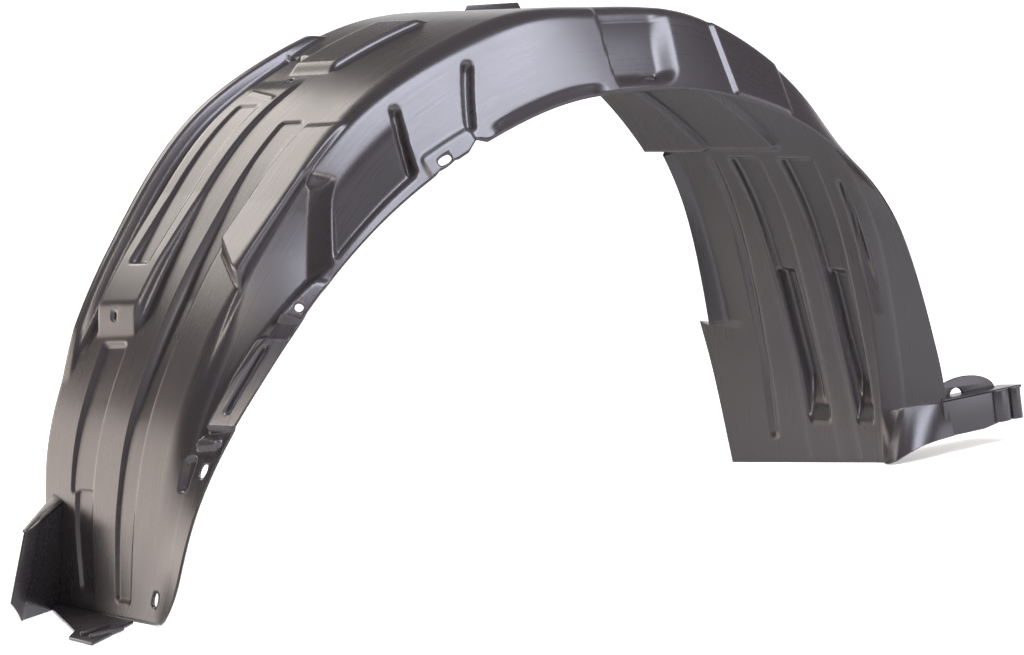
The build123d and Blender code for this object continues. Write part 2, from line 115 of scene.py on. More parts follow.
# Mesh lines that lean with the flank's folds, and the notch in the lip
LEAN_AT = [2.4, 3.2, 3.5, 4.12, 4.7, 6.5, 7.0]
LEAN = [0, 0.55, 0.6, 0.36, 0.3, 0.22, 0]
NOTCH_AT = [4.27, 4.36, 4.45]
NOTCH = [0, 0.07, 0]

# Mesh lines that run along the slanting steps of the roof and the slanting ribs of the right leg
ROOF_LEAD_AT = [6.9, 7.5, 8.56]
ROOF_LEAD = [0, 0.28, 0]
ROOF_LEAD_ACROSS = [0.1, 0.29, 0.67, 1.03]
ROOF_LEAD_SHARE = [0, 1.0, 0.8, 0]
RIBS_START = 8.62
RIBS_LENGTH = 2.23
RIBS_REACH = 1.07
ROWS_ABOVE = [0, 0.035, 0.13, 0.37, 0.43, 0.63, 0.70, 0.80, 1.2]
ROWS_AT_FOOT = [0, 0.035, 0.045, 0.17, 0.31, 0.49, 0.64, 0.80, 1.2]

# Far edge: flap of the roof, flange of the right leg turned in towards the wheel, and flange of its foot
ROOF_FLAP = (7.35, 8.56)
ROOF_FLAP_EDGE = 1.03
TURNED = (8.6, 9.87)
TURNED_BASE = 0.91
TURNED_EDGE = 0.962
TURNED_DEPTH = (5.0, 19.0)
FOOT_EDGE_AT = [9.88, LAST]
FOOT_EDGE = [1.09, 1.03]

# Right foot: the flank ends at a crease, and the kick panel below it ends on this line
CREASE = 10.46
KICK_SHARES = [0.0, 0.35, 0.8, 1.0]
KICK_LINE = [(438, -3, 20), (395, -3, 17), (364, 14, 0), (372, 26, 0)]
KICK_SAMPLES = 121
KICK_ROUNDING = 41

# Bottom corner of the left leg, and how far across its rows are drawn in
CORNER_RADIUS = 42.0
CORNER_REACH = 90.0

TINY = 1e-6


def linear(hex_colour):
    """Linear RGBA of an sRGB hex colour."""
    channels = [int(hex_colour[i:i + 2], 16) / 255 for i in (1, 3, 5)]
    return tuple(c / 12.92 if c <= 0.04045 else ((c + 0.055) / 1.055) ** 2.4 for c in channels) + (1.0,)


def add_node(tree, kind, settings=None, values=None, links=None):
    """New node with its settings, socket values and links from (node, output) to an input."""
    node = tree.nodes.new(kind)
    for name, value in (settings or {}).items():
        setattr(node, name, value)
    for name, value in (values or {}).items():
        node.inputs[name].default_value = value
    for name, (source, output) in (links or {}).items():
        tree.links.new(source.outputs[output], node.inputs[name])
    return node


def new_material(name):
    material = bpy.data.materials.new(name)
    material.use_nodes = True
    material.node_tree.nodes.clear()
    return material, material.node_tree


def moulded_polypropylene():
    """Black moulded plastic: fine grain, flow lines along the arch, uneven sheen, and a painted highlight
    that makes the crests paler.
    """
    material, tree = new_material("moulded_polypropylene")
    place = add_node(tree, "ShaderNodeTexCoord")
    run = add_node(tree, "ShaderNodeAttribute", {"attribute_name": "moulding"})
    crest = add_node(tree, "ShaderNodeAttribute", {"attribute_name": "crest"})
    grain = add_node(tree, "ShaderNodeTexNoise",
                     values={"Scale": GRAIN_PER_METRE, "Detail": 2.0, "Roughness": 0.6},
                     links={"Vector": (place, "Object")})
    stretched = add_node(tree, "ShaderNodeMapping", values={"Scale": FLOW_PER_METRE},
                         links={"Vector": (run, "Vector")})
    flow = add_node(tree, "ShaderNodeTexNoise", values={"Scale": 1.0, "Detail": 3.0, "Roughness": 0.65},
                    links={"Vector": (stretched, "Vector")})
    cloud = add_node(tree, "ShaderNodeTexNoise",
                     values={"Scale": CLOUDS_PER_METRE, "Detail": 4.0, "Roughness": 0.6},
                     links={"Vector": (place, "Object")})
    uneven = add_node(tree, "ShaderNodeMath", {"operation": "ADD"},
                      links={0: (cloud, "Fac"), 1: (flow, "Fac")})
    rough = add_node(tree, "ShaderNodeMapRange",
                     values={"From Min": UNEVEN_RANGE[0], "From Max": UNEVEN_RANGE[1],
                             "To Min": ROUGHNESS[0], "To Max": ROUGHNESS[1]},
                     links={"Value": (uneven, "Value")})
    fine = add_node(tree, "ShaderNodeBump", values={"Strength": GRAIN_STRENGTH, "Distance": RELIEF},
                    links={"Height": (grain, "Fac")})
    lines = add_node(tree, "ShaderNodeBump", values={"Strength": FLOW_STRENGTH, "Distance": RELIEF},
                     links={"Height": (flow, "Fac"), "Normal": (fine, "Normal")})
    # The crests are painted paler: a painted highlight along the ridges
    colour = add_node(tree, "ShaderNodeMix", {"data_type": "RGBA"},
                      values={6: linear(PLASTIC), 7: linear(CREST_HIGHLIGHT_PLASTIC)}, links={0: (crest, "Fac")})
    shader = add_node(tree, "ShaderNodeBsdfPrincipled", values={"IOR": 1.5},
                      links={"Base Color": (colour, 2), "Roughness": (rough, "Result"),
                             "Normal": (lines, "Normal")})
    add_node(tree, "ShaderNodeOutputMaterial", links={"Surface": (shader, "BSDF")})
    return material


def rail(points, s):
    """Smooth curve through the stations, as an array of (X, Z), straight past both ends."""
    knots = np.array(points, float)
    knots = np.vstack([2 * knots[0] - knots[1], knots, 2 * knots[-1] - knots[-2]])
    s = np.asarray(s, float)
    i = np.clip(np.floor(s).astype(int), 0, LAST - 1)
    t = (s - i)[..., None]
    a, b, c, d = knots[i], knots[i + 1], knots[i + 2], knots[i + 3]
    square, cube = 2 * a - 5 * b + 4 * c - d, 3 * b - a - 3 * c + d
    inside = 0.5 * (2 * b + (c - a) * t + square * t ** 2 + cube * t ** 3)
    straight = b + (c - b) * t
    return np.where((t < 0) | (t > 1), straight, inside)


def between(low, y_low, high, y_high, s, v):
    """Points in millimetres on the ruled skin between two rails."""
    a, b = rail(low, s), rail(high, s)
    v = np.asarray(v, float)[..., None]
    flat = a + (b - a) * v
    y = y_low + (y_high - y_low) * v[..., 0]
    return np.stack([flat[..., 0], np.broadcast_to(y, flat.shape[:-1]), flat[..., 1]], axis=-1)


def on_flank(s, v):
    return between(LIP, Y_LIP, SHOULDER, Y_SHOULDER, s, v)


def on_tread(s, v):
    return between(SHOULDER, Y_SHOULDER, FAR, Y_FAR, s, v)


def length_across(face, s):
    """Length of a face from edge to edge at each station, in millimetres."""
    return np.linalg.norm(face(s, np.ones_like(s)) - face(s, np.zeros_like(s)), axis=1)


def eased(k, bend=0.3):
    """Flat slope from 0 to 1 whose two ends are rounded over a share of its length."""
    k = np.clip(k, 0.0, 1.0)
    ends = 2 * bend * (1 - bend)
    rise = np.where(k < bend, k * k / ends, (k - bend / 2) / (1 - bend))
    return np.where(k > 1 - bend, 1 - (1 - k) ** 2 / ends, rise)


def rounded(values):
    """Evenly sampled line with its corners rounded and its ends kept."""
    longer = np.pad(values, KICK_ROUNDING // 2, "reflect", reflect_type="odd")
    return np.convolve(longer, np.ones(KICK_ROUNDING) / KICK_ROUNDING, "valid")


class Skin:
    """Grid over the whole liner: places, outward directions, and heights of both faces of the wall."""

    def __init__(self):
        fine = np.linspace(0, LAST, RUN_SAMPLES)
        steps = np.linalg.norm(np.diff(on_tread(fine, np.zeros_like(fine)), axis=0), axis=1)
        run = np.concatenate([[0], np.cumsum(steps)])
        self.u = np.interp(np.linspace(0, run[-1], COLUMNS), run, fine)
        self.flank_length = length_across(on_flank, self.u)
        self.tread_length = length_across(on_tread, self.u)
        self.lay_rows()
        self.find_normals()
        self.outer = np.zeros(self.s.shape)
        self.inner = np.zeros(self.s.shape)

    def lay_rows(self):
        """Lays the mesh lines over the flank, the rounded shoulder and the tread."""
        u = self.u[:, None]
        f_len = self.flank_length[:, None]
        t_len = self.tread_length[:, None]
        v_blend = 1 - np.interp(self.u, BLEND_AT, FLANK_BLEND)[:, None] / f_len
        t_blend = np.interp(self.u, BLEND_AT, TREAD_BLEND)[:, None] / t_len
        lean = np.interp(self.u, LEAN_AT, LEAN)[:, None]
        notch = np.interp(self.u - lean[:, 0], NOTCH_AT, NOTCH)[:, None]
        v = notch + np.linspace(0, 1, FLANK_ROWS)[None, :] * (v_blend - notch)
        s_flank = u - lean * (1 - v)
        flank = on_flank(s_flank, v)
        t = (np.arange(1, BLEND_ROWS + 1) / (BLEND_ROWS + 1))[None, :]
        s_edge = s_flank[:, -1:]
        start = on_flank(s_edge, v_blend)
        corner = on_tread(u, 0 * u)
        end = on_tread(u, t_blend)
        w = t[..., None]
        blend = start * (1 - w) ** 2 + corner * 2 * w * (1 - w) + end * w ** 2
        across = self.follow_ribs(self.tread_rows(t_blend))
        tread = on_tread(np.broadcast_to(u, across.shape), across)
        self.s = np.hstack([s_flank, s_edge + (u - s_edge) * t, np.broadcast_to(u, across.shape)])
        self.v_tread = np.hstack([-(1 - v) * f_len / t_len, (t - 0.5) * 2 * t_blend, across])
        self.v_flank = 1 + self.v_tread * t_len / f_len
        self.place = np.concatenate([flank, blend, tread], axis=1)
        self.round_corner()
        self.fold_kick_panel()

    def tread_rows(self, t_blend):
        """Shares across the tread of its mesh lines, from the end of the shoulder to the far edge."""
        near = t_blend + (NEAR_END - t_blend) * np.linspace(0, 1, NEAR_ROWS, endpoint=False)[None, :]
        level = np.linspace(NEAR_END, EDGE_START, TREAD_ROWS, endpoint=False)
        level = np.broadcast_to(level, (COLUMNS, TREAD_ROWS))
        far = self.far_edge()[:, None]
        high = EDGE_START + (far - EDGE_START) * np.linspace(0, 1, EDGE_ROWS)[None, :]
        return np.hstack([near, level, high])

    def round_corner(self):
        """Draws the rows in from the lip round the bottom corner of the left leg."""
        for i in np.flatnonzero((self.place[:, 0, 2] < CORNER_RADIUS) & (self.u < 1)):
            rise = CORNER_RADIUS - self.place[i, 0, 2]
            start = CORNER_RADIUS - math.sqrt(CORNER_RADIUS ** 2 - min(rise, CORNER_RADIUS) ** 2)
            y = self.place[i, :, 1].copy()
            drawn = np.where(y < CORNER_REACH, start + y * (1 - start / CORNER_REACH), y)
            for column in (self.place[i, :, 0], self.place[i, :, 2], self.v_tread[i], self.v_flank[i]):
                column[:] = np.interp(drawn, y, column)
            self.place[i, :, 1] = drawn

    def far_edge(self):
        """How far across the tread goes, station by station."""
        u = self.u
        foot = np.interp(u, FOOT_EDGE_AT, FOOT_EDGE)
        leg = np.where(u < TURNED[1], TURNED_EDGE, foot)
        return np.where(u < ROOF_FLAP[0], 1.0, np.where(u < ROOF_FLAP[1], ROOF_FLAP_EDGE, leg))

    def follow_ribs(self, across):
        """Turns the rows of the roof and the right leg so that they run along the slanting steps and ribs."""
        lead = np.interp(self.u, ROOF_LEAD_AT, ROOF_LEAD)[:, None]
        across = across + lead * np.interp(across, ROOF_LEAD_ACROSS, ROOF_LEAD_SHARE)
        k = np.clip((self.u - RIBS_START) / RIBS_LENGTH, 0, RIBS_REACH)[:, None]
        slanted = np.interp(across, ROWS_ABOVE, ROWS_AT_FOOT)
        return across + (slanted - across) * k

    def fold_kick_panel(self):
        """Below the crease the flank flares out to the kick line."""
        rows = FLANK_ROWS + BLEND_ROWS
        first = np.searchsorted(self.u, CREASE)
        crease = self.place[first, :rows]
        share = self.v_flank[first, :rows]
        foot = on_tread(np.array([float(LAST)]), np.array([TREAD_BLEND[-1] / self.tread_length[-1]]))[0]
        shares = KICK_SHARES + [float(self.v_flank[first, rows])]
        line = np.array(KICK_LINE + [tuple(foot)], float)
        even = np.linspace(shares[0], shares[-1], KICK_SAMPLES)
        bottom = np.stack([np.interp(share, even, rounded(np.interp(even, shares, line[:, i])))
                           for i in range(3)], axis=1)
        k = ((self.u[first:] - self.u[first]) / (LAST - self.u[first]))[:, None, None]
        self.place[first:, :rows] = crease + (bottom - crease) * k

    def find_normals(self):
        along_step = np.gradient(self.place, axis=0)
        across_step = np.gradient(self.place, axis=1)
        normal = np.cross(along_step, across_step)
        self.normal = normal / np.linalg.norm(normal, axis=2, keepdims=True)
        self.per_station = np.linalg.norm(along_step, axis=2) / np.gradient(self.u)[:, None]

    def sides(self, face):
        """Distance across, as a share of the face and as its length in millimetres."""
        if face == "flank":
            return self.v_flank, self.flank_length[:, None]
        return self.v_tread, self.tread_length[:, None]

    def flat_place(self, face, s, v):
        """Millimetre coordinates on the skin around one spot, and millimetres per station and per share."""
        shares, length = self.sides(face)
        i = np.argmin(np.abs(self.u - s))
        j = np.argmin(np.abs(shares[i] - v))
        per_s, per_v = self.per_station[i, j], length[i, 0]
        return (self.s - s) * per_s, (shares - v) * per_v, per_s, per_v

    def press(self, form):
        """Raises (or with a minus sign, sinks) both faces of the wall inside a form's edges."""
        edges = form.outline.edges(self)
        height = form.height(self.s, self.v_flank) if callable(form.height) else form.height
        short = sum(np.maximum(form.radius - e, 0) ** 2 for e in edges)
        inside = np.where(short > 0, form.radius - np.sqrt(short), np.minimum.reduce(edges))
        grown = -WALL if np.mean(height) > 0 else WALL
        self.outer += height * eased(inside / form.slope, form.bend)
        self.inner += height * eased((inside + grown) / form.slope, form.bend)

    def sink(self, depth):
        """Lowers both faces of the wall by a depth that is given point by point."""
        self.outer -= depth
        self.inner -= depth

    def faces_of_wall(self):
        """Points of the outer and of the inner face."""
        outer = self.place + self.normal * self.outer[..., None]
        inner = self.place + self.normal * (self.inner - WALL)[..., None]
        return outer, inner


class Strip(NamedTuple):
    """Outline that follows the skin: a share across is single, or one at each end. Ramps stretch its ends."""

    face: str
    stations: tuple
    near: object
    far: object
    ramps: tuple = (1.0, 1.0)
    banks: tuple = (1.0, 1.0)

    def edges(self, skin):
        """Distances in from the four edges, in millimetres."""
        v, length = skin.sides(self.face)
        s0, s1 = self.stations
        near, far = np.broadcast_to(self.near, 2), np.broadcast_to(self.far, 2)
        k = np.clip((skin.s - s0) / (s1 - s0), 0, 1)
        low = near[0] + (near[1] - near[0]) * k
        high = far[0] + (far[1] - far[0]) * k
        return [(skin.s - s0) * skin.per_station / self.ramps[0],
                (s1 - skin.s) * skin.per_station / self.ramps[1],
                (v - low) * length / self.banks[0],
                (high - v) * length / self.banks[1]]


class Panel(NamedTuple):
    """Outline with straight sides between corners (station, share across). Slopes stretch its sides."""

    face: str
    corners: list
    slopes: tuple = (1.0, 1.0, 1.0, 1.0, 1.0)

    def middle(self):
        return tuple(sum(c[i] for c in self.corners) / len(self.corners) for i in (0, 1))

    def edges(self, skin, middle=None):
        """Distances in from the sides, in millimetres on the skin as it lies at the middle."""
        s_mid, v_mid = middle or self.middle()
        x, y, per_s, per_v = skin.flat_place(self.face, s_mid, v_mid)
        spots = [((s - s_mid) * per_s, (v - v_mid) * per_v) for s, v in self.corners]
        sides = list(zip(spots, spots[1:] + spots[:1], self.slopes))
        turn = sum(a[0] * b[1] - b[0] * a[1] for a, b, _ in sides)
        edges = []
        for a, b, slope in sides:
            dx, dy = b[0] - a[0], b[1] - a[1]
            inward = (dx * (y - a[1]) - dy * (x - a[0])) / math.hypot(dx, dy) * (1 if turn > 0 else -1)
            edges.append(inward / slope)
        return edges


class Groove(NamedTuple):
    """Outline of a straight round-ended groove between two spots (station, share across)."""

    face: str
    start: tuple
    end: tuple
    width: float

    def edges(self, skin):
        """Distance in from the edge, in millimetres."""
        (s0, v0), (s1, v1) = self.start, self.end
        x, y, per_s, per_v = skin.flat_place(self.face, (s0 + s1) / 2, (v0 + v1) / 2)
        half_x, half_y = (s1 - s0) / 2 * per_s, (v1 - v0) / 2 * per_v
        k = np.clip((x * half_x + y * half_y) / (half_x * half_x + half_y * half_y), -1, 1)
        return [self.width / 2 - np.hypot(x - half_x * k, y - half_y * k)]


class Form(NamedTuple):
    """Part of the wall pressed out, or in with a minus sign. Height, slope and radius in millimetres."""

    outline: object
    height: object
    slope: float = 3.2
    radius: float = 5.0
    bend: float = 0.3


def along(stations, heights):
    """Height that changes along the arch."""
    return lambda s, v: np.interp(s, stations, heights)


def across(shares, heights):
    """Height that changes across the flank, lip to shoulder."""
    return lambda s, v: np.interp(v, shares, heights)


def product(first, second):
    return lambda s, v: first(s, v) * second(s, v)


def pocket_floor(s, v):
    """The pocket is deepest at the lip, and its floor curves up to the shoulder."""
    depth, level_to, curve = 9.0, 0.35, 0.95
    return -depth * (1 - eased((v - level_to) / curve, 0.5))


# Left leg and roof: rim with its valley, plateau with its bar, wedge pad, roof bar, and channels
LEFT_LEG = [
    Form(Strip("tread", (2.1, 4.84), 0.928, 1.3, ramps=(9, 2)), 6.0, slope=7.0, bend=0.15),
    Form(Strip("tread", (2.3, 4.8), 0.85, 0.963, ramps=(1, 9), banks=(1.5, 1)),
         along([2.3, 2.7, 4.2, 4.8], [0, -6, -6, -3]), slope=7.0, bend=0.15),
    Form(Strip("tread", (2.42, 4.30), 0.55, 0.86, ramps=(8, 5)),
         along([2.42, 2.95, 3.4, 4.30], [13, 9.5, 4, 2.5]), slope=4.5),
    Form(Strip("tread", (2.9, 4.05), 0.63, 0.77), along([2.9, 3.4, 4.05], [-6, -2.5, -1.8])),
    Form(Panel("tread", [(2.98, 0.225), (3.88, 0.225), (3.88, -0.012), (2.72, -0.012)], (1, 3, 0.6, 3.6)),
         along([2.7, 3.3, 3.88], [17, 7.5, 2]), radius=1.2, bend=0.05),
    Form(Strip("tread", (4.34, 5.06), 0.46, 0.74, ramps=(3, 3)), 6.0, slope=5.0),
    Form(Strip("tread", (1.06, 2.40), 0.60, 0.78), along([1.1, 2.0], [-1.8, -4.0]), slope=2.6),
    Form(Strip("tread", (0.18, 1.10), 0.60, 0.74), -2.6, slope=2.4),
    Form(Strip("tread", (0.14, 3.9), 0.26, 0.40),
         along([0.14, 1.2, 1.8, 2.4, 2.7, 3.2, 3.6, 3.9], [-2.6, -2.6, -4, -7, -8, -5, -2.2, -2]), slope=2.6),
    Form(Groove("tread", (4.56, 0.93), (4.53, 0.80), 9.0), -4.0),
    Form(Groove("tread", (4.16, 0.78), (4.10, 0.60), 6.0), 1.5),
]

# Right leg: two slanting steps of the dropped roof, ribs with deeper pads, a short rib and a bead
RIGHT_LEG = [
    Form(Strip("tread", (7.5, 8.54), (0.57, 0.295), 1.6), -5.5, slope=2.4),
    Form(Strip("tread", (7.5, 8.54), (0.894, 0.674), 1.6), -6.0, slope=2.4),
    Form(Strip("tread", (8.62, 10.85), (0.43, 0.31), (0.62, 0.47), ramps=(1, 9)), 8.0),
    Form(Strip("tread", (8.62, 10.85), (0.13, 0.047), (0.34, 0.17), ramps=(1, 9)), 8.0),
    Form(Strip("tread", (9.46, 10.78), (0.44, 0.35), (0.55, 0.46), ramps=(1, 14)), 7.0),
    Form(Strip("tread", (9.44, 10.78), (0.14, 0.06), (0.26, 0.15), ramps=(1, 14)), 7.0),
    Form(Groove("tread", (8.84, 0.035), (9.7, 0.0), 13.0), along([9.2, 9.7], [6.0, 0.0])),
    Form(Strip("tread", (8.62, 10.8), 0.675, 0.745), 3.0),
]

# Flank: leaning panel, two pleats, the bend above the lip, the pocket and the end panel
FLANK = [
    Form(Panel("flank", [(3.52, 0.72), (4.16, 0.72), (3.88, 0.11), (2.98, 0.11)], (3, 1, 1.5, 1)),
         across([0.12, 0.66], [-10.0, -0.6]), slope=4.0),
    Form(Groove("flank", (4.11, 0.74), (3.89, 0.20), 12.0), -9.0, slope=5.0),
    Form(Groove("flank", (4.63, 0.72), (4.41, 0.22), 13.0), -9.0, slope=5.5),
    Form(Strip("flank", (4.48, 5.66), -0.5, 0.13, ramps=(9, 9)), across([0, 0.13], [-4.0, 0.0]), slope=2.0),
    Form(Panel("flank", [(6.00, 1.4), (6.74, 1.4), (6.46, 0.02), (5.76, 0.02)], (1, 5, 4.5, 1)),
         pocket_floor, slope=4.5),
    Form(Strip("flank", (7.02, 7.70), 0.0, 0.93, ramps=(1, 3)), 3.0),
]

# Lip: flange with its slot, pad with a hole, tab, lug and dent
LIP_FORMS = [
    Form(Strip("flank", (1.66, 2.44), -0.4, 0.5),
         product(across([0, 0.5], [2.0, 11.0]), along([1.66, 2.44], [1.25, 0.3]))),
    Form(Groove("flank", (2.32, 0.25), (1.84, 0.25), 7.0), -6.0),
    Form(Panel("flank", [(2.52, 0.40), (2.88, 0.20), (2.84, -0.3), (2.46, -0.3)]),
         product(across([0, 0.4], [3.0, 10.0]), along([2.46, 2.88], [1.2, 0.6]))),
    Form(Panel("flank", [(3.98, 0.26), (4.40, 0.24), (4.34, -0.3), (3.84, -0.3)], (2, 1, 1, 1)), 1.6),
    Form(Panel("flank", [(1.50, 0.62), (1.64, 0.62), (1.60, 0.1), (1.50, 0.1)]), 6.0),
    Form(Groove("flank", (1.40, 0.66), (1.20, 0.66), 13.0), -6.0),
]

# Fold: a sloping pocket in the flank whose walls go from an outline down to a floor, and its depth
FOLD_OUTLINE = Panel("flank", [(1.60, 1.02), (3.50, 1.01), (3.57, 0.70), (2.98, 0.10), (1.60, 0.60)])
FOLD_FLOOR = Panel("flank", [(1.60, 0.95), (3.46, 0.95), (3.45, 0.92), (2.86, 0.32), (1.60, 0.80)])
FOLD_DEPTH = product(along([1.7, 3.3], [0.0, 14.0]), across([0.3, 0.95], [1.0, 0.45]))
FOLD_BEND = 0.12

# Holes as (face, station, share across, length, width), in millimetres
HOLES = [
    ("tread", 0.22, 0.035, 14.0, 11.0),
    ("flank", 1.32, 0.25, 13.0, 8.0),
    ("flank", 2.62, 0.12, 8.0, 8.0),
    ("flank", 4.1, 0.07, 15.0, 8.0),
    ("flank", 6.2, 0.16, 15.0, 8.0),
    ("tread", 2.56, 0.72, 8.0, 8.0),
    ("tread", 4.28, 0.66, 8.0, 8.0),
]

# Painted highlight on the crests: mesh lines over which a bend is measured, the bend at which the highlight
# starts, and where it is full
CREST_LINES = 2
CREST_START = 0.05
CREST_RANGE = 0.2

# The wheel side takes its flow lines from another part of the noise, in metres
WHEEL_SIDE_SHIFT = 0.5


def turn_flange(skin):
    """Turns the far flange of the right leg in towards the wheel, deeper towards the foot."""
    k = np.clip((skin.s - TURNED[0]) / (TURNED[1] - TURNED[0]), 0, 1)
    depth = TURNED_DEPTH[0] + (TURNED_DEPTH[1] - TURNED_DEPTH[0]) * k
    out = np.clip((skin.v_tread - TURNED_BASE) / (TURNED_EDGE - TURNED_BASE), 0, 1)
    here = (skin.s > TURNED[0]) & (skin.s < TURNED[1])
    skin.sink(np.where(here, depth * out, 0))


def sink_fold(skin):
    middle = FOLD_OUTLINE.middle()
    outside = FOLD_OUTLINE.edges(skin, middle)
    inside = FOLD_FLOOR.edges(skin, middle)
    down = [np.clip(a / np.maximum(a - b, TINY), 0, 1) for a, b in zip(outside, inside)]
    skin.sink(FOLD_DEPTH(skin.s, skin.v_flank) * eased(np.minimum.reduce(down), FOLD_BEND))


def cut_holes(skin, outer, inner):
    """Turns the mesh lines round each hole to its edge, and marks the points that the holes take away."""
    gone = np.zeros(skin.s.shape, bool)
    for face, s, v, length, width in HOLES:
        shares, _ = skin.sides(face)
        miss = np.abs(skin.s - s) + np.abs(shares - v)
        i, j = np.unravel_index(np.argmin(miss), miss.shape)
        ahead = outer[i + 1, j] - outer[i - 1, j]
        side = outer[i, j + 1] - outer[i, j - 1]
        reach = [max(2, round(size / np.linalg.norm(step)))
                 for size, step in ((length, ahead), (width, side))]
        ahead = ahead / np.linalg.norm(ahead)
        side = np.cross(skin.normal[i, j], ahead)
        middle = outer[i, j].copy()
        for a in range(-2 * reach[0] + 1, 2 * reach[0]):
            for b in range(-2 * reach[1] + 1, 2 * reach[1]):
                spot = (i + a, j + b)
                p, q = a / reach[0], b / reach[1]
                ring = max(abs(p), abs(q))
                gone[spot] |= ring <= 1
                turn = max(math.hypot(p, q), TINY) / max(ring, TINY)
                x = (length - width) / 2 * p + width / 2 * p / turn
                y = width / 2 * q / turn
                offset = outer[spot] - middle
                shift = (x - offset @ ahead) * ahead + (y - offset @ side) * side
                shift = shift * min(1.0, 2.0 - ring)
                outer[spot] += shift
                inner[spot] += shift
    return gone


def crests(face):
    """How sharply a grid of points bends across its ridges, from 0 to 1, as the share of painted highlight on
    its crests.
    """
    bend = np.zeros(face.shape[:2])
    for axis in (0, 1):
        ahead, behind = np.roll(face, -CREST_LINES, axis), np.roll(face, CREST_LINES, axis)
        span = np.maximum(np.linalg.norm(ahead - behind, axis=2), TINY)
        rise = np.linalg.norm(face - (ahead + behind) / 2, axis=2)
        bend = np.maximum(bend, rise / span)
    bend[:CREST_LINES] = 0
    bend[-CREST_LINES:] = 0
    bend[:, :CREST_LINES] = 0
    bend[:, -CREST_LINES:] = 0
    return np.clip((bend - CREST_START) / CREST_RANGE, 0, 1)


def to_frame(points):
    """Millimetres on the rails' axes to metres in the liner's frame."""
    return (points - np.array([BOX_MIDDLE[0], BOX_MIDDLE[1], 0.0])) * MM


def mark(piece, run, crest):
    """Records on each vertex how far along and across the moulding it is, in metres, and how much painted
    highlight it has on crests.
    """
    attributes = piece.data.attributes
    attributes.new("moulding", "FLOAT_VECTOR", "POINT").data.foreach_set("vector", np.ravel(run))
    attributes.new("crest", "FLOAT", "POINT").data.foreach_set("value", np.ravel(crest))


def new_piece(name, points, faces, run, crest):
    """Smooth mesh of four-sided faces, with the points that no face uses left out."""
    used, flat = np.unique(np.asarray(faces).reshape(-1), return_inverse=True)
    mesh = bpy.data.meshes.new(name)
    mesh.from_pydata(to_frame(points[used]).tolist(), [], flat.reshape(-1, 4).tolist())
    mesh.polygons.foreach_set("use_smooth", [True] * len(mesh.polygons))
    mesh.update()
    piece = bpy.data.objects.new(name, mesh)
    bpy.context.collection.objects.link(piece)
    mark(piece, run[used], crest[used])
    return piece


def pressed_skin():
    skin = Skin()
    for form in LEFT_LEG + RIGHT_LEG:
        skin.press(form)
    turn_flange(skin)
    sink_fold(skin)
    for form in FLANK + LIP_FORMS:
        skin.press(form)
    return skin


def mould_shell():
    """The wall's two faces with its edges and holes closed between them."""
    skin = pressed_skin()
    outer, inner = skin.faces_of_wall()
    outer[..., 2] = np.maximum(outer[..., 2], 0)
    inner[..., 2] = np.maximum(inner[..., 2], 0)
    gone = cut_holes(skin, outer, inner)
    columns, rows = skin.s.shape
    total = columns * rows
    index = np.arange(total).reshape(columns, rows)
    quads = np.stack([index[:-1, :-1], index[1:, :-1], index[1:, 1:], index[:-1, 1:]], axis=-1)
    quads = quads.reshape(-1, 4)
    quads = quads[~gone.reshape(-1)[quads].all(axis=1)]
    edges = np.concatenate([quads[:, [0, 1]], quads[:, [1, 2]], quads[:, [2, 3]], quads[:, [3, 0]]])
    _, where, count = np.unique(np.sort(edges, axis=1), axis=0, return_index=True, return_counts=True)
    rim = edges[where[count == 1]]
    rim_faces = np.stack([rim[:, 1], rim[:, 0], rim[:, 0] + total, rim[:, 1] + total], axis=1)
    points = np.concatenate([outer.reshape(-1, 3), inner.reshape(-1, 3)])
    steps = np.linalg.norm(np.gradient(skin.place[:, :1], axis=0), axis=2)
    far_along = np.broadcast_to(np.cumsum(steps, axis=0), skin.s.shape)
    far_across = skin.v_tread * skin.tread_length[:, None]
    run = np.stack([far_along * MM, far_across * MM, 0 * far_along], axis=-1).reshape(-1, 3)
    run = np.concatenate([run, run + np.array([0.0, 0.0, WHEEL_SIDE_SHIFT])])
    # Painted highlight on the crests of both faces of the wall
    painted_highlight = np.concatenate([crests(outer).reshape(-1), crests(inner).reshape(-1)])
    made = [new_piece("liner_body_side", points, np.concatenate([quads, rim_faces]), run, painted_highlight)]
    made.append(new_piece("liner_wheel_side", points, quads[:, ::-1] + total, run, painted_highlight))
    return made


# Plates: rounding of their edges, and the angle up to which they are shaded smooth
PLATE_ROUNDING = 0.9
ROUNDING_SEGMENTS = 3
SMOOTH_DEGREES = 40

# Left foot: floor flange as (X, Y), its ridges, and the fin with the strip folded over its top
FOOT_THICK = 3.0
FOOT_OUTLINE = [(-440, 76), (-457, 229), (-468, 229), (-477, 160), (-487, 84), (-499, 62), (-493, 12),
                (-470, 34), (-452, 55), (-438, 70)]
TAB_RIDGES = [((-491, 50), (-462, 62)), ((-489, 30), (-455, 44))]
RIDGE_WIDTH = 4.0
RIDGE_BOTTOM = 1.0
RIDGE_TOP = 7.0
RIDGE_ROUNDING = 1.6
FIN_OUTLINE = [(-457, 232, 0), (-503, 204, 0), (-512, 193, 19), (-492, 187, 83), (-443, 209, 106)]
FIN_THICK = 2.5
FIN_STRIP = (5.0, 16.0)

# The fin swells forward along its outer edge
BOW_WIDTH = 20.0
BOW_RISE = 2.5
BOW_STEPS = 8

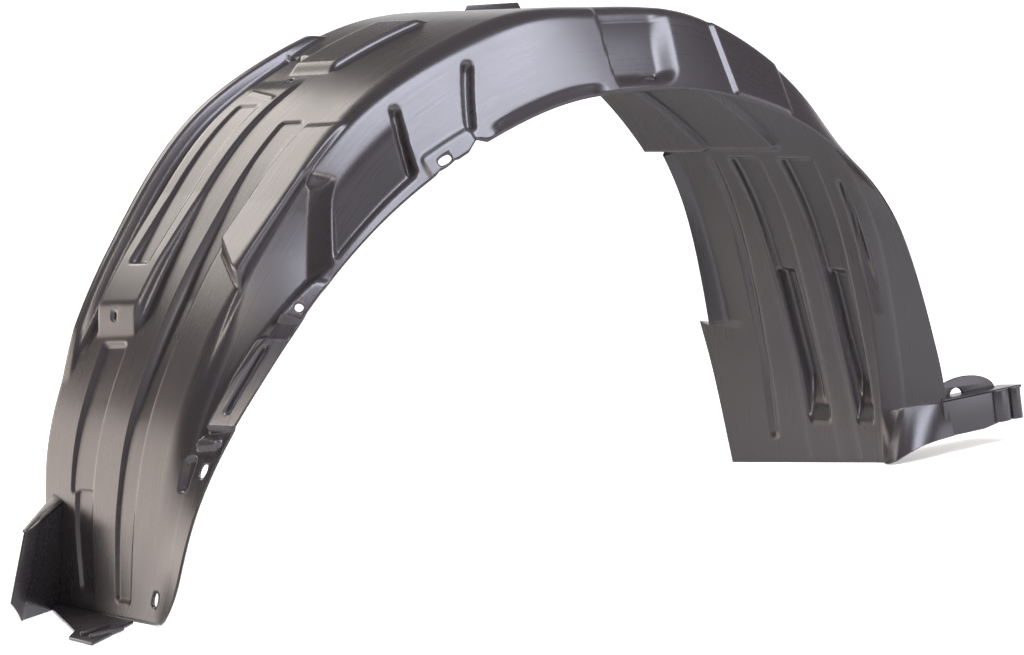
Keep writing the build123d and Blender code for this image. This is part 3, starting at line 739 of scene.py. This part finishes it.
# Tail of the right foot: front as (X, Z), shelf as (X, Y), the hump on it and the rounded ribs
TAIL_FACE = -3.0
TAIL_FRONT = [(430, 20), (482, 20), (534, 28), (538, 58), (430, 60)]
TAIL_SHELF = [(430, -3), (540, -3), (536, 26), (436, 34)]
TAIL_TOP = 59.0
TAIL_THICK = 3.0
LOOP_MIDDLE = (478, 22)
LOOP_BOTTOM = 57.0
LOOP_SIZE = (44.0, 20.0)
LOOP_SHIFT = -10.0
LOOP_RADIUS = 9.0
HALF_TURN = [math.pi * i / 24 for i in range(25)]
BARRELS = [(509, 22), (528, 15)]
BARREL_BACK = -2.0
BARREL_BULGE = 7.0
BARREL_HEIGHT = (24.0, 58.0)

# Tab on the far edge of the roof, as (X, Z)
ROOF_TAB = [(44, 514), (57, 534), (118, 533), (132, 498)]
ROOF_TAB_INSET = 3.0


def finish_edges(piece, width_mm):
    """Rounds a piece's edges with an applied bevel, and shades it smooth."""
    bpy.ops.object.select_all(action="DESELECT")
    piece.select_set(True)
    bpy.context.view_layer.objects.active = piece
    bevel = piece.modifiers.new("rounded_edges", "BEVEL")
    bevel.width = width_mm * MM
    bevel.segments = ROUNDING_SEGMENTS
    bevel.limit_method = "ANGLE"
    bpy.ops.object.modifier_apply(modifier=bevel.name)
    bpy.ops.object.shade_smooth_by_angle(angle=math.radians(SMOOTH_DEGREES))


def bow_edge(piece, start, end, back):
    """Swells a plate forward in a smooth curve along the edge between two of its corners."""
    a, b = (Vector(to_frame(np.array(p))) for p in (start, end))
    back = Vector(back)
    inward = back.cross(b - a).normalized()
    middle = sum((v.co for v in piece.data.vertices), Vector()) / len(piece.data.vertices)
    if (middle - a).dot(inward) < 0:
        inward = -inward
    bpy.ops.object.mode_set(mode="EDIT")
    for i in range(1, BOW_STEPS + 1):
        bpy.ops.mesh.select_all(action="SELECT")
        bpy.ops.mesh.bisect(plane_co=a + inward * BOW_WIDTH * MM * i / BOW_STEPS, plane_no=inward)
    bpy.ops.object.mode_set(mode="OBJECT")
    for vertex in piece.data.vertices:
        share = min(max((vertex.co - a).dot(inward) / (BOW_WIDTH * MM), 0), 1)
        vertex.co -= back * BOW_RISE * MM * 4 * share * (1 - share)


def cut_plate(name, corners, step, rounding=PLATE_ROUNDING, bow=None):
    """Flat plate: a filled outline, extruded by a step in millimetres, and bowed along an edge."""
    bpy.ops.object.select_all(action="DESELECT")
    bpy.ops.mesh.primitive_circle_add(vertices=len(corners), radius=0.05, fill_type="NGON",
                                      location=(0, 0, 0))
    piece = bpy.context.object
    piece.name = name
    for vertex, corner in zip(piece.data.vertices, to_frame(np.array(corners, float))):
        vertex.co = corner
    bpy.ops.object.mode_set(mode="EDIT")
    bpy.ops.mesh.select_all(action="SELECT")
    bpy.ops.mesh.extrude_region_move(TRANSFORM_OT_translate={"value": tuple(x * MM for x in step)})
    bpy.ops.mesh.select_all(action="SELECT")
    bpy.ops.mesh.normals_make_consistent(inside=False)
    bpy.ops.object.mode_set(mode="OBJECT")
    if bow:
        bow_edge(piece, *bow)
    finish_edges(piece, rounding)
    return piece


def mould_left_foot():
    """Floor flange with its ridges, and the fin with its strip."""
    made = [cut_plate("foot_flange", [(x, y, 0.0) for x, y in FOOT_OUTLINE], (0, 0, FOOT_THICK))]
    for a, b in TAB_RIDGES:
        a, b = np.array(a, float), np.array(b, float)
        ahead = (b - a) / np.linalg.norm(b - a)
        side = np.array([-ahead[1], ahead[0]]) * RIDGE_WIDTH / 2
        ring = [(p[0], p[1], RIDGE_BOTTOM) for p in (a - side, b - side, b + side, a + side)]
        made.append(cut_plate("foot_ridge", ring, (0, 0, RIDGE_TOP - RIDGE_BOTTOM), RIDGE_ROUNDING))
    fin = np.array(FIN_OUTLINE, float)
    back = np.cross(fin[1] - fin[0], fin[4] - fin[0])
    back /= np.linalg.norm(back)
    fin = fin - ((fin - fin[0]) @ back)[:, None] * back
    made.append(cut_plate("fin", fin, back * FIN_THICK, bow=(fin[2], fin[3], back)))
    strip = np.array([fin[3] - back, fin[4] - back,
                      fin[4] + back * FIN_STRIP[1], fin[3] + back * FIN_STRIP[0]])
    down = np.cross(strip[1] - strip[0], strip[2] - strip[0])
    down /= -np.linalg.norm(down)
    made.append(cut_plate("fin_strip", strip, down * FIN_THICK))
    return made


def mould_tail():
    """Tail bracket: front wall, shelf, the hump with an opening, and two rounded ribs."""
    made = [cut_plate("tail_front", [(x, TAIL_FACE, z) for x, z in TAIL_FRONT], (0, TAIL_THICK, 0))]
    shelf = [(x, y, TAIL_TOP - TAIL_THICK) for x, y in TAIL_SHELF]
    made.append(cut_plate("tail_shelf", shelf, (0, 0, TAIL_THICK)))
    x, y = LOOP_MIDDLE
    ring = [(x + LOOP_SIZE[0] * math.cos(a), y, LOOP_BOTTOM + LOOP_SIZE[1] * math.sin(a)) for a in HALF_TURN]
    ring += [(x + LOOP_SHIFT - LOOP_RADIUS * math.cos(a), y, LOOP_BOTTOM + LOOP_RADIUS * math.sin(a))
             for a in HALF_TURN[::2]]
    made.append(cut_plate("tail_loop", ring, (0, -TAIL_THICK, 0)))
    bottom, top = BARREL_HEIGHT
    for middle, width in BARRELS:
        ring = [(middle + width / 2 * math.cos(a), BARREL_BACK - BARREL_BULGE * math.sin(a), bottom)
                for a in HALF_TURN[::2]]
        made.append(cut_plate("tail_barrel", ring, (0, 0, top - bottom)))
    return made


def mould_roof_tab():
    return [cut_plate("roof_tab", [(x, Y_FAR - ROOF_TAB_INSET, z) for x, z in ROOF_TAB], (0, WALL, 0))]


def mark_plate(piece):
    """Marks a plate: its own axes as the moulding's run, and no painted highlight."""
    spots = np.array([v.co for v in piece.data.vertices])
    mark(piece, spots, np.zeros(len(spots)))


def white_paper(name, glow_range):
    """Matt white sheet whose own glow rises from near to far away, where less lamp light falls on it."""
    material, tree = new_material(name)
    ray = add_node(tree, "ShaderNodeLightPath")
    seen = add_node(tree, "ShaderNodeMath", {"operation": "MAXIMUM"},
                    links={0: (ray, "Is Camera Ray"), 1: (ray, "Is Glossy Ray")})
    seen = add_node(tree, "ShaderNodeMath", {"operation": "MAXIMUM"},
                    links={0: (seen, "Value"), 1: (ray, "Is Transmission Ray")})
    place = add_node(tree, "ShaderNodeTexCoord")
    away = add_node(tree, "ShaderNodeVectorMath", {"operation": "LENGTH"}, links={0: (place, "Object")})
    strength = add_node(tree, "ShaderNodeMapRange",
                        values={"From Min": GLOW_RANGE[0], "From Max": GLOW_RANGE[1],
                                "To Min": glow_range[0], "To Max": glow_range[1]},
                        links={"Value": (away, "Value")})
    glow = add_node(tree, "ShaderNodeMath", {"operation": "MULTIPLY"},
                    links={0: (seen, "Value"), 1: (strength, "Result")})
    paint = add_node(tree, "ShaderNodeBsdfDiffuse", values={"Color": linear(PAPER_COLOUR)})
    shine = add_node(tree, "ShaderNodeEmission", values={"Color": (1.0, 1.0, 1.0, 1.0)},
                     links={"Strength": (glow, "Value")})
    lit = add_node(tree, "ShaderNodeAddShader", links={0: (paint, "BSDF"), 1: (shine, "Emission")})
    add_node(tree, "ShaderNodeOutputMaterial", links={"Surface": (lit, "Shader")})
    return material


def sheet(name, size, middle, turn, material):
    bpy.ops.object.select_all(action="DESELECT")
    bpy.ops.mesh.primitive_plane_add(size=1.0, location=middle, rotation=turn)
    plane = bpy.context.object
    plane.name = name
    plane.scale = (size[0], size[1], 1.0)
    bpy.ops.object.transform_apply(location=True, rotation=True, scale=True)
    plane.data.materials.append(material)


def lay_stage():
    """White floor under the liner and a white backdrop behind it."""
    sheet("studio_floor", FLOOR_SIZE, FLOOR_MIDDLE, (0, 0, 0), white_paper("white_floor", FLOOR_GLOW))
    ahead = math.radians(HEADING)
    behind = (EYE.x + BACKDROP_AWAY * math.sin(ahead), EYE.y + BACKDROP_AWAY * math.cos(ahead),
              BACKDROP_HEIGHT)
    upright = (math.pi / 2, 0, -ahead)
    sheet("studio_backdrop", BACKDROP_SIZE, behind, upright, white_paper("white_backdrop", BACKDROP_GLOW))


def light_world():
    world = bpy.data.worlds.new("studio")
    bpy.context.scene.world = world
    world.use_nodes = True
    tree = world.node_tree
    tree.nodes.clear()
    around = add_node(tree, "ShaderNodeBackground",
                      values={"Color": linear(AROUND_COLOUR), "Strength": AROUND_STRENGTH})
    add_node(tree, "ShaderNodeOutputWorld", links={"Surface": (around, "Background")})


def softbox(name, place, aim, width, height, watts, colour):
    data = bpy.data.lights.new(name, "AREA")
    data.shape = "RECTANGLE"
    data.size = width
    data.size_y = height
    data.energy = watts
    data.color = linear(colour)[:3]
    lamp = bpy.data.objects.new(name, data)
    bpy.context.collection.objects.link(lamp)
    lamp.location = place
    lamp.rotation_euler = (Vector(aim) - Vector(place)).to_track_quat("-Z", "Y").to_euler()


def aim_camera():
    psi, theta, roll = (math.radians(a) for a in (HEADING, DOWNWARD, ROLL))
    ahead = Vector((math.sin(psi) * math.cos(theta), math.cos(psi) * math.cos(theta), -math.sin(theta)))
    level = Vector((math.cos(psi), -math.sin(psi), 0))
    upright = level.cross(ahead)
    right = level * math.cos(roll) + upright * math.sin(roll)
    up = upright * math.cos(roll) - level * math.sin(roll)
    data = bpy.data.cameras.new("photo_camera")
    data.lens = LENS_MM
    data.sensor_width = SENSOR_MM
    data.sensor_fit = "HORIZONTAL"
    camera = bpy.data.objects.new("photo_camera", data)
    bpy.context.collection.objects.link(camera)
    turn = Matrix((right, up, -ahead)).transposed().to_4x4()
    camera.matrix_world = Matrix.Translation(EYE) @ turn
    bpy.context.scene.camera = camera


plastic = moulded_polypropylene()
plates = mould_left_foot() + mould_tail() + mould_roof_tab()
for piece in plates:
    mark_plate(piece)
for piece in mould_shell() + plates:
    piece.data.materials.append(plastic)
    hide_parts("arch_liner")
    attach(piece, "root")

lay_stage()
light_world()
for box in SOFTBOXES:
    softbox(*box)
aim_camera()

bpy.context.scene.view_settings.view_transform = "Standard"
